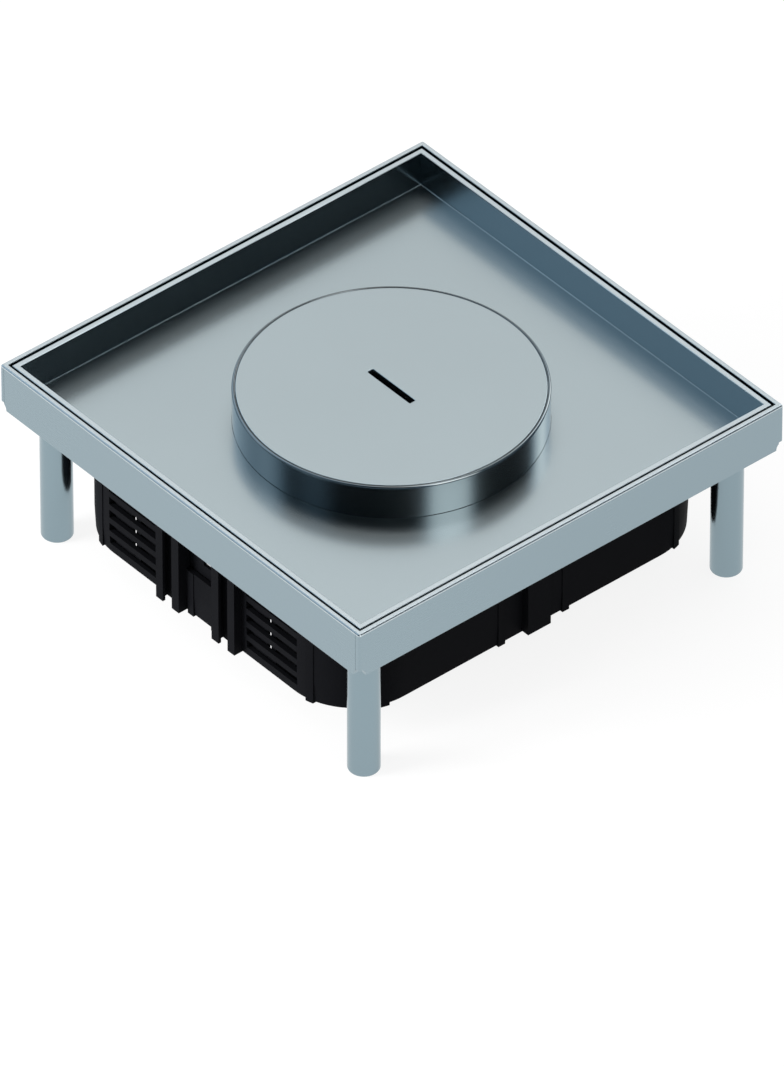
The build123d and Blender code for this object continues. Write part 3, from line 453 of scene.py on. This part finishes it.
def steel_finish(name, base, roughness, variation, grain, brush, bump):
    """Stainless steel: cloudy colour and gloss, fine grain drawn out along the brushing."""
    n = Nodes(bpy.data.materials.new(name))
    cloud = n.noise(n.stretched((1, 1, 1)), 14.0, 4.0)
    fine = n.noise(n.stretched(tuple(grain * b for b in brush)), 1.0, 3.0, 0.6)
    dark = tuple(c * (1 - variation) for c in base)
    light = tuple(min(1.0, c * (1 + variation)) for c in base)
    mixed = n.math("ADD", n.math("MULTIPLY", cloud, 0.6), n.math("MULTIPLY", fine, 0.4))
    tone = n.spread(mixed, 0.0, 1.0)
    height = n.add("ShaderNodeBump", Height=fine, Strength=bump, Distance=0.0001).outputs[0]
    shader = n.add(
        "ShaderNodeBsdfPrincipled", Metallic=1.0, Normal=height,
        Base_Color=n.tint(tone, dark, light),
        Roughness=n.spread(mixed, roughness * 0.93, roughness * 1.07))
    n.finish(shader)


def plastic_finish(name, base, roughness):
    """Moulded plastic: a fine eroded texture, with slightly uneven gloss."""
    n = Nodes(bpy.data.materials.new(name))
    place = n.stretched((1, 1, 1))
    skin = n.noise(place, 1400.0, 2.0)
    cloud = n.noise(place, 30.0, 3.0)
    height = n.add("ShaderNodeBump", Height=skin, Strength=0.25, Distance=0.00008).outputs[0]
    shader = n.add(
        "ShaderNodeBsdfPrincipled", Normal=height,
        Base_Color=n.tint(cloud, tuple(c * 0.8 for c in base), tuple(c * 1.25 for c in base)),
        Roughness=n.spread(cloud, roughness * 0.9, roughness * 1.12))
    shader.inputs["Specular IOR Level"].default_value = 0.012
    n.finish(shader)


def rubber_finish(name, base):
    """Foam rubber: matt, with open pores."""
    n = Nodes(bpy.data.materials.new(name))
    place = n.stretched((1, 1, 1))
    pores = n.add("ShaderNodeTexVoronoi", Vector=place, Scale=900.0).outputs["Distance"]
    height = n.add("ShaderNodeBump", Height=pores, Strength=0.5, Distance=0.0002).outputs[0]
    shader = n.add(
        "ShaderNodeBsdfPrincipled", Normal=height,
        Base_Color=n.tint(n.noise(place, 60.0), tuple(c * 0.7 for c in base), tuple(c * 1.5 for c in base)),
        Roughness=0.85)
    shader.inputs["Specular IOR Level"].default_value = 0.2
    n.finish(shader)


def finishes():
    """All finishes by name, made once."""
    if "satin tray steel" not in bpy.data.materials:
        look = bpy.context.scene.floor_box_finish
        along_x, along_both, even = (0.04, 1.0, 1.0), (0.04, 0.04, 1.0), (1.0, 1.0, 1.0)
        for name, base, roughness, variation, grain, brush, bump in (
                ("satin tray steel", look.steel, look.steel_roughness, 0.012, 2600.0, along_x, 0.001),
                # Darker wall steel: painted shade
                ("smooth wall steel", look.tray_wall_shade, look.wall_roughness, 0.012, 2600.0, along_both, 0.001),
                ("satin frame steel", look.band, look.band_roughness, 0.012, 2600.0, along_both, 0.001),
                # Lighter rim steel: burnishing and a painted highlight
                ("burnished edge", look.rim, look.rim_roughness, 0.02, 1500.0, even, 0.001),
                ("polished collar steel", look.polish, look.polish_roughness, 0.02, 2600.0,
                 along_both, 0.002),
                ("turned leg steel", look.leg, look.leg_roughness, 0.03, 2600.0, along_both, 0.01),
                ("zinc plate", look.zinc, 0.34, 0.06, 700.0, even, 0.02)):
            steel_finish(name, base, roughness, variation, grain, brush, bump)
        plastic_finish("moulded black plastic", look.plastic, look.plastic_roughness)
        rubber_finish("foam rubber", look.rubber)
    return bpy.data.materials


def dress(piece, body, slot, material, *nodes, edge=None):
    """Gives a piece its finish and its body, and hides the CAD nodes that it stands for; the slot is not
    used.
    """
    made = finishes()
    wanted = [made[material]] + ([made[edge]] if edge else [])
    for place, finish in enumerate(wanted):
        if place < len(piece.data.materials):
            piece.data.materials[place] = finish
        else:
            piece.data.materials.append(finish)
    # The rounded bevels take the edge finish: on the frame and tray, a lighter steel that paints a highlight
    if edge:
        for modifier in piece.modifiers:
            if modifier.type == "BEVEL":
                modifier.material = 1
    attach(piece, body)
    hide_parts(*nodes)


def refinish(node, material):
    """A better finish on a CAD node that stays."""
    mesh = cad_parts[node].data
    mesh.materials.clear()
    mesh.materials.append(finishes()[material])


class PieceOperator(bpy.types.Operator):
    """Shared settings of the operators that finish pieces."""
    bl_options = {"REGISTER", "UNDO"}


class FLOORBOX_OT_outer_frame(PieceOperator):
    """Finish the outer frame, its top and rounded edges lighter with a painted highlight"""
    bl_idname = "floorbox.outer_frame"
    bl_label = "Outer frame"

    def execute(self, context):
        """The walls are one profile carried round the square; four bars make the ledge."""
        s = settings()[0]
        low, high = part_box("outer_frame")
        half, under, top = high.x, low.z, high.z
        small = s.fine_edge
        outline = rounded_outline(
            [(s.wall, under), (0.0, under), (0.0, top), (s.wall, top)],
            [small, small, s.frame_edge, small])
        foot = (outline[:, 1] < under + small + 0.5 * MM).astype(float)
        inside = half - s.wall

        def lift(u):
            """Height of the round corner relief at distance u from the middle of a side."""
            away = np.where(np.abs(u) > inside, 0.0, half - np.abs(u))
            return np.sqrt(np.clip(s.relief ** 2 - away ** 2, 0.0, None))

        away = np.array([s.corner_radius, s.wall - 0.1 * MM, s.wall, s.wall + 0.1 * MM]
                        + [*np.linspace(s.wall + 0.3 * MM, s.relief, 8)]
                        + [s.relief + 0.3 * MM, 12 * MM, 40 * MM, 90 * MM])
        along = np.concatenate([-(half - away), [0.0], (half - away)[::-1]])
        seam = s.seam * (np.abs(np.abs(along) - inside) < 0.01 * MM)
        walls = swept_square(half, s.corner_radius, outline, foot, lift, along, seam)
        rising = np.diff(np.concatenate([outline, outline[:1]]), axis=0)[:, 1]
        level = (outline[:, 1] + np.roll(outline[:, 1], -1)) / 2
        # The flat top and its rounded outer edge take the lighter rim steel, a painted highlight
        bright = (level > top - s.frame_edge) & (np.abs(rising) < 0.6 * MM)
        end = inside - s.block
        inner = inside - s.ledge_width
        over = under + s.ledge_thickness
        sunk = inside + 0.05 * MM
        ledge = [bar((-end, -sunk, under), (end, -inner, over), small),
                 bar((-end, inner, under), (end, sunk, over), small),
                 bar((-sunk, -end, under), (-inner, end, over), small),
                 bar((inner, -end, under), (sunk, end, over), small)]
        piece = surface_object("frame_band", walls, *ledge, bright=bright)
        piece.data.set_sharp_from_angle(angle=MADE_SHARP)
        dress(piece, "root", "brushed_stainless", "satin frame steel", "outer_frame", edge="burnished edge")
        return {"FINISHED"}


class FLOORBOX_OT_tray(PieceOperator):
    """Finish the tray, its rims lighter with a painted highlight and its walls darker with painted shade"""
    bl_idname = "floorbox.tray"
    bl_label = "Tray"

    def execute(self, context):
        sizes = settings()[0]
        piece = merged_copy("tray", "covering_tray")
        soften(piece, sizes.sheet_edge, 3, 20 * MM)
        # Upward rims take the lighter rim steel as a painted highlight; upright walls take a darker steel as
        # painted shade
        part_faces(piece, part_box("tray")[1].z)
        piece.data.materials[2] = finishes()["smooth wall steel"]
        dress(piece, "root", "brushed_stainless", "satin tray steel", "tray", edge="burnished edge")
        return {"FINISHED"}


class FLOORBOX_OT_collar(PieceOperator):
    """Turn the polished collar with its seat, notches and stops"""
    bl_idname = "floorbox.collar"
    bl_label = "Collar"

    columns: bpy.props.IntProperty(name="Columns", description="Points round the collar", default=720)

    def execute(self, context):
        """The profile is turned; the seat's and throat's radii then change with the angle."""
        s = settings()[0]
        low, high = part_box("collar_ring")
        top, foot = high.z, low.z + s.flange_thickness
        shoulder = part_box("tray")[1].z - s.tray_depth + s.floor_gap
        seat = top - s.seat_drop
        under = seat - s.seat_thickness
        stop_foot = under - s.stop_height
        pocket = s.collar_radius - s.collar_rim
        edge = s.fine_edge
        corners = [
            (pocket, top, edge), (pocket, seat, 0.0), (s.seat_radius, seat, 0.0),
            (s.seat_radius, under, 0.0), (s.throat_radius, under, 0.0),
            (s.throat_radius, stop_foot, 0.0), (s.throat_radius, stop_foot - 0.02 * MM, 0.0),
            (s.throat_radius, low.z, edge), (s.flange_radius, low.z, edge), (s.flange_radius, foot, edge),
            (s.spigot_radius, foot, 0.0), (s.spigot_radius, shoulder, 0.0),
            (s.collar_radius, shoulder, edge), (s.collar_radius, top, s.collar_edge)]
        outline = rounded_outline([c[:2] for c in corners], [c[2] for c in corners])
        points = turned(outline, self.columns)
        angle = np.linspace(0, 2 * math.pi, self.columns, endpoint=False)
        soft = math.radians(0.5)
        thirds = [k * 360.0 / LUGS for k in range(LUGS)]
        notch = sum(
            inside_sector(angle, math.radians(NOTCH_MIDDLE + k), math.radians(NOTCH_WIDTH), soft)
            for k in thirds)
        stop = sum(
            inside_sector(angle, math.radians(m + k), math.radians(STOP_WIDTH), soft)
            for k in thirds for m in STOP_MIDDLES)
        radius = np.hypot(points[..., 0], points[..., 1])
        z = points[..., 2]
        on_seat = (radius < s.seat_radius + 0.3 * MM) & (z > under - 0.3 * MM) & (z < seat + 0.3 * MM)
        at_height = (z > stop_foot - 0.01 * MM) & (z < under - 0.01 * MM)
        on_stop = (radius < s.throat_radius + 0.3 * MM) & at_height
        grown = radius + on_seat * notch * (s.notch_radius - s.seat_radius)
        grown = grown - on_stop * stop * s.stop_depth
        points[..., 0] = grown * np.cos(angle)
        points[..., 1] = grown * np.sin(angle)
        piece = surface_object("polished_collar", points)
        piece.data.set_sharp_from_angle(angle=MADE_SHARP)
        dress(piece, "root", "polished_stainless", "polished collar steel", "collar_ring")
        return {"FINISHED"}


class FLOORBOX_OT_lid(PieceOperator):
    """Make the lid plate with its key slot"""
    bl_idname = "floorbox.lid"
    bl_label = "Lid plate"

    columns: bpy.props.IntProperty(name="Columns", description="Points round the lid", default=480)

    def execute(self, context):
        """Rows run from the slot's outline to the rim's circle; each row blends the two shapes."""
        s = settings()[0]
        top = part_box("lid_plate")[1].z
        under = top - s.lid_thickness
        half = np.array([s.slot_length, s.slot_width]) / 2
        angle = np.linspace(0, 2 * math.pi, self.columns, endpoint=False)
        ring = np.stack([np.cos(angle), np.sin(angle)], axis=1)
        steep = np.abs(ring) / half
        square = np.sign(ring) * steep / steep.max(axis=1, keepdims=True)
        rows = []
        lip = 0.25 * MM

        def slot_edge(grow):
            """The slot's outline, moved outwards by `grow`."""
            return square * (half + grow)

        def row(points, z):
            """Adds a row of points at a level."""
            rows.append(np.column_stack([points, np.full(self.columns, z)]))

        row(slot_edge(0.0), under)
        row(slot_edge(0.0), top - lip - 0.1 * MM)
        for share in np.linspace(0, 1, 4):
            turn = share * math.pi / 2
            row(slot_edge(lip * (1 - math.cos(turn))), top - lip * (1 - math.sin(turn)))
        inner = slot_edge(lip)
        outer = s.lid_radius - s.lid_edge
        for share in (0.02, 0.08, 0.25, 0.55, 0.9, 0.995):
            row(inner * (1 - share) + ring * outer * share, top)
        for share in np.linspace(0, 1, 5):
            turn = share * math.pi / 2
            row(ring * (outer + s.lid_edge * math.sin(turn)), top - s.lid_edge * (1 - math.cos(turn)))
        row(ring * s.lid_radius, top - s.lid_edge - 0.1 * MM)
        row(ring * s.lid_radius, under + 0.1 * MM)
        row(ring * s.lid_radius, under)
        row(ring * (s.lid_radius - 0.2 * MM), under)
        points = np.stack(rows)[::-1]
        piece = surface_object("slotted_lid", points)
        piece.data.set_sharp_from_angle(angle=MADE_SHARP)
        dress(piece, "lid", "brushed_stainless", "satin tray steel", "lid_plate")
        return {"FINISHED"}


class FLOORBOX_OT_legs(PieceOperator):
    """Turn the four levelling legs"""
    bl_idname = "floorbox.legs"
    bl_label = "Legs"

    columns: bpy.props.IntProperty(name="Columns", description="Points round a leg", default=96)

    def execute(self, context):
        s = settings()[0]
        for corner in CORNERS:
            low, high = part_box(f"leg_{corner}")
            middle = (low + high) / 2
            corners = [
                (0.02 * MM, 0.0, 0.0), (s.leg_radius, 0.0, s.leg_edge), (s.leg_radius, high.z, 0.4 * MM),
                (s.leg_bore, high.z, 0.3 * MM), (s.leg_bore, s.leg_bore_floor, 0.5 * MM),
                (0.02 * MM, s.leg_bore_floor, 0.0)]
            outline = rounded_outline([c[:2] for c in corners], [c[2] for c in corners], 6)
            piece = surface_object(f"turned_leg_{corner}", turned(outline, self.columns, middle.xy))
            piece.data.set_sharp_from_angle(angle=MADE_SHARP)
            dress(piece, f"foot_{corner}", "leg_steel", "turned leg steel", f"leg_{corner}")
        return {"FINISHED"}


class FLOORBOX_OT_corner_fittings(PieceOperator):
    """Finish the corner blocks, levelling screws and circlips"""
    bl_idname = "floorbox.corner_fittings"
    bl_label = "Corner fittings"

    def execute(self, context):
        sizes = settings()[0]
        for corner in CORNERS:
            block = merged_copy(f"corner_block_{corner}", f"welded_block_{corner}")
            soften(block, sizes.sheet_edge, 2, 4 * MM)
            dress(block, "root", "brushed_stainless", "satin frame steel", f"corner_block_{corner}")
            screw = merged_copy(f"levelling_screw_{corner}", f"socket_screw_{corner}")
            dress(screw, f"screw_{corner}", "zinc_steel", "zinc plate", f"levelling_screw_{corner}")
            refinish(f"screw_circlip_{corner}", "zinc plate")
        return {"FINISHED"}


class FLOORBOX_OT_housing(PieceOperator):
    """Finish the moulded housing with softened edges"""
    bl_idname = "floorbox.housing"
    bl_label = "Device housing"

    def execute(self, context):
        sizes = settings()[0]
        piece = merged_copy("device_housing", "moulded_housing")
        soften(piece, sizes.moulded_edge, 2, 1.5 * MM)
        dress(piece, "root", "black_plastic", "moulded black plastic", "device_housing")
        return {"FINISHED"}


class FLOORBOX_OT_carriers(PieceOperator):
    """Finish the three device carriers and the lid carrier"""
    bl_idname = "floorbox.carriers"
    bl_label = "Carriers"

    def execute(self, context):
        sizes = settings()[0]
        pieces = [(c, c.replace("device_carrier", "moulded_carrier"), "root") for c in CARRIERS]
        for node, name, body in pieces + [("lid_carrier", "moulded_lid_carrier", "lid")]:
            piece = merged_copy(node, name)
            soften(piece, sizes.moulded_edge, 2, 1.5 * MM)
            dress(piece, body, "black_plastic", "moulded black plastic", node)
        return {"FINISHED"}


class FLOORBOX_OT_small_parts(PieceOperator):
    """Finish the seals, gaskets, nuts and screws"""
    bl_idname = "floorbox.small_parts"
    bl_label = "Seals and fasteners"

    def execute(self, context):
        for node in ("tray_seal", "collar_gasket", "lid_seal"):
            refinish(node, "foam rubber")
        for node, name, body in (
                ("collar_nuts", "stud_nuts", "root"),
                ("lid_screws", "carrier_screws", "lid"),
                ("housing_screws", "flange_screws", "root")):
            dress(merged_copy(node, name), body, "zinc_steel", "zinc plate", node)
        return {"FINISHED"}


def ray_share(n, glow):
    """The share `glow` for camera, glossy and transmitted rays, and 0 for the rest."""
    path = n.add("ShaderNodeLightPath").outputs
    seen = n.math("MAXIMUM", path["Is Camera Ray"], path["Is Glossy Ray"])
    seen = n.math("MAXIMUM", seen, path["Is Transmission Ray"])
    return n.math("MULTIPLY", seen, glow)


# Cards round the set, by the angle from the camera to its right: the angle in degrees and the
# brightness that steel sees there. Dark cards stand at the camera's side and between the lights.
CARDS = (
    (-180, 0.73), (-168, 0.76), (-150, 0.68), (-122, 0.52), (-112, 0.52), (-104, 0.66), (-94, 0.6),
    (-86, 0.3), (-80, 0.05), (-70, 0.06), (-62, 0.12), (-50, 0.12), (-44, 0.03), (-38, 0.004),
    (24, 0.004), (30, 2.1), (56, 2.0), (61, 0.004), (119, 0.004), (124, 0.7), (129, 1.7), (134, 1.9),
    (139, 2.2), (145, 1.5), (152, 0.9), (160, 0.75), (180, 0.73))
CARD_DISTANCE = 3.0

# From LOW_RISE degrees down, blended in over LOW_BLEND, no card is darker than LOW_TONE
LOW_RISE, LOW_BLEND, LOW_TONE = 22, 6, 0.32

# Dark cards are bluer, by COOL at the most: less up to COOL_TONE, and none behind COOL_TURN
COOL, COOL_TONE, COOL_TURN, COOL_BLEND = 0.34, 1.5, 168, 14

# The floor's own tone, and its brightness where it stays white in shadow
PAPER_TONE, PAPER_GLOW = 0.92, 1.06

# Softboxes in metres: the overhead one's width and height, the low one's place and width, and
# the high one's width, depth and distance, with its height above the horizon in degrees
OVERHEAD_WIDTH, OVERHEAD_HEIGHT = 2.4, 2.7
LOW_PLACE, LOW_WIDTH = (-1.1, -2.2, 0.9), 1.4
HIGH_WIDTH, HIGH_DEPTH, HIGH_DISTANCE, HIGH_RISE = 2.2, 0.9, 3.0, 66


class FLOORBOX_OT_stage(PieceOperator):
    """Set up the floor, the light and the camera"""
    bl_idname = "floorbox.stage"
    bl_label = "Stage"

    def execute(self, context):
        studio = settings()[2]
        scene = context.scene
        scene.view_settings.view_transform = "Standard"
        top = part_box("outer_frame")[1].z

        # Floor: one wide white sheet that keeps a soft shadow
        reach = 30.0
        corners = np.array([(-reach, -reach, 0), (reach, -reach, 0), (reach, reach, 0), (-reach, reach, 0)])
        sheet = bpy.data.meshes.new("studio_floor")
        sheet.from_pydata(corners, [], [(0, 1, 2, 3)])
        floor = bpy.data.objects.new("studio_floor", sheet)
        scene.collection.objects.link(floor)
        n = Nodes(bpy.data.materials.new("white studio floor"))
        paper = n.add("ShaderNodeBsdfDiffuse", Color=(PAPER_TONE, PAPER_TONE, PAPER_TONE, 1.0))
        glow = n.add("ShaderNodeEmission", Color=(1.0, 1.0, 1.0, 1.0), Strength=PAPER_GLOW)
        both = n.add("ShaderNodeMixShader")
        n.put(both.inputs[0], ray_share(n, studio.floor_glow))
        n.put(both.inputs[1], paper.outputs[0])
        n.put(both.inputs[2], glow.outputs[0])
        sheet.materials.append(n.finish(both))

        # Cards: a dome band round the set, seen only in reflections
        azimuth = math.radians(studio.camera_azimuth)
        elevation = math.radians(studio.camera_elevation)
        facing = math.degrees(azimuth) - 90.0
        columns, rows = 360, 40
        angle = np.linspace(0, 2 * math.pi, columns, endpoint=False)
        rise = np.linspace(2, 89, rows)[:, None]
        height = np.radians(rise)
        points = CARD_DISTANCE * np.stack([
            np.cos(height) * np.cos(angle), np.cos(height) * np.sin(angle),
            np.broadcast_to(np.sin(height), (rows, columns))], axis=-1)
        dome = surface_object("studio_cards", points, close_rows=False)
        turn = (np.degrees(angle) - facing + 180) % 360 - 180
        stops = np.array(CARDS)
        tone = np.interp(turn, stops[:, 0], stops[:, 1])
        low_share = np.clip((LOW_RISE - rise) / LOW_BLEND, 0, 1)
        tone = tone + (np.maximum(tone, LOW_TONE) - tone) * low_share
        cool = COOL * np.clip(1 - tone / COOL_TONE, 0, 1)
        cool = cool * np.clip((COOL_TURN - np.abs(turn)) / COOL_BLEND, 0, 1)
        shade = np.stack([tone * (0.98 - cool), tone, tone * (1.01 + cool), np.ones_like(tone)], axis=-1)
        attribute = dome.data.attributes.new("card", "FLOAT_COLOR", "POINT")
        attribute.data.foreach_set("color", shade.astype(np.float32).ravel())
        n = Nodes(bpy.data.materials.new("studio cards"))
        card = n.add("ShaderNodeAttribute", attribute_name="card")
        glow = n.add("ShaderNodeEmission", Color=card.outputs["Color"], Strength=1.0)
        dome.data.materials.append(n.finish(glow))
        dome.visible_camera = False
        dome.visible_diffuse = False
        dome.visible_transmission = False
        dome.visible_shadow = False

        # World: white behind everything, softer as a light
        world = bpy.data.worlds.new("studio")
        scene.world = world
        n = Nodes(world)
        strength = n.math("ADD", ray_share(n, 1.0 - studio.world_light), studio.world_light)
        sky = n.add("ShaderNodeBackground", Color=(1.0, 1.0, 1.0, 1.0), Strength=strength)
        n.finish(sky, "ShaderNodeOutputWorld")

        # Softboxes: one overhead, one low at the front left for the housing, and a long one high
        # behind the cover, seen only in reflections. Power is brightness times pi times area.
        def softbox(name, place, size, power, glossy, diffuse=True, depth=None):
            """An area lamp aimed at the origin: a disc, or a rectangle if it has a depth."""
            lamp = bpy.data.lights.new(name, "AREA")
            lamp.shape = "RECTANGLE" if depth else "DISK"
            lamp.size = size
            if depth:
                lamp.size_y = depth
            lamp.energy = power
            item = bpy.data.objects.new(name, lamp)
            scene.collection.objects.link(item)
            item.location = place
            item.rotation_mode = "QUATERNION"
            item.rotation_quaternion = (-item.location).to_track_quat("-Z", "Y")
            item.visible_glossy = glossy
            item.visible_diffuse = diffuse
            item.visible_camera = False

        softbox("overhead_softbox", (0.0, 0.0, OVERHEAD_HEIGHT), OVERHEAD_WIDTH,
                studio.overhead_light * math.pi * math.pi * OVERHEAD_WIDTH ** 2 / 4, False)
        softbox("low_softbox", LOW_PLACE, LOW_WIDTH, studio.side_light, False)
        behind = HIGH_DISTANCE * math.cos(math.radians(HIGH_RISE))
        above = HIGH_DISTANCE * math.sin(math.radians(HIGH_RISE))
        place = (-behind * math.sin(azimuth), behind * math.cos(azimuth), above)
        power = studio.high_light * math.pi * HIGH_WIDTH * HIGH_DEPTH
        softbox("high_softbox", place, HIGH_WIDTH, power, True, diffuse=False, depth=HIGH_DEPTH)

        # Camera: a long lens at the photograph's angle
        back = np.array([math.sin(azimuth) * math.cos(elevation), -math.cos(azimuth) * math.cos(elevation),
                         math.sin(elevation)])
        right = np.array([math.cos(azimuth), math.sin(azimuth), 0.0])
        up = np.cross(back, right)
        lens = bpy.data.cameras.new("long_lens")
        lens.sensor_width = 36.0
        lens.lens = 36.0 * studio.lens_ratio
        lens.clip_start, lens.clip_end = 0.1, 100.0
        camera = bpy.data.objects.new("camera", lens)
        scene.collection.objects.link(camera)
        place = (np.array([0, 0, top]) + right * studio.camera_right - up * studio.camera_down
                 + back * studio.camera_distance)
        camera.matrix_world = Matrix([*np.column_stack([right, up, back, place]), (0, 0, 0, 1)])
        scene.camera = camera
        return {"FINISHED"}


PIECES = (
    FLOORBOX_OT_outer_frame, FLOORBOX_OT_tray, FLOORBOX_OT_collar, FLOORBOX_OT_lid, FLOORBOX_OT_legs,
    FLOORBOX_OT_corner_fittings, FLOORBOX_OT_housing, FLOORBOX_OT_carriers, FLOORBOX_OT_small_parts,
    FLOORBOX_OT_stage)


class FLOORBOX_PT_panel(bpy.types.Panel):
    """Lists the cover's sizes, finishes and pieces"""
    bl_idname = "FLOORBOX_PT_panel"
    bl_label = "Floor box cover"
    bl_space_type = "VIEW_3D"
    bl_region_type = "UI"
    bl_category = "Floor box"

    def draw(self, context):
        """Settings first, then one button for each operator."""
        column = self.layout.column()
        for group in settings():
            for key in group.__annotations__:
                column.prop(group, key)
        for piece in PIECES:
            column.operator(piece.bl_idname)


GROUPS = {
    "floor_box_sizes": FloorBoxSizes,
    "floor_box_finish": FloorBoxFinish,
    "floor_box_studio": FloorBoxStudio}


def register():
    """Registers the classes and hangs the settings on the scene."""
    for item in (*GROUPS.values(), *PIECES, FLOORBOX_PT_panel):
        bpy.utils.register_class(item)
    for key, group in GROUPS.items():
        setattr(bpy.types.Scene, key, bpy.props.PointerProperty(type=group))


def unregister():
    """Takes the settings and the classes away again."""
    for key in GROUPS:
        delattr(bpy.types.Scene, key)
    for item in (FLOORBOX_PT_panel, *PIECES[::-1], *list(GROUPS.values())[::-1]):
        bpy.utils.unregister_class(item)


def main():
    """Makes the cover and the stage."""
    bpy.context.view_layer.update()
    register()
    for piece in PIECES:
        group, call = piece.bl_idname.split(".")
        getattr(getattr(bpy.ops, group), call)()


if __name__ == "__main__":
    main()
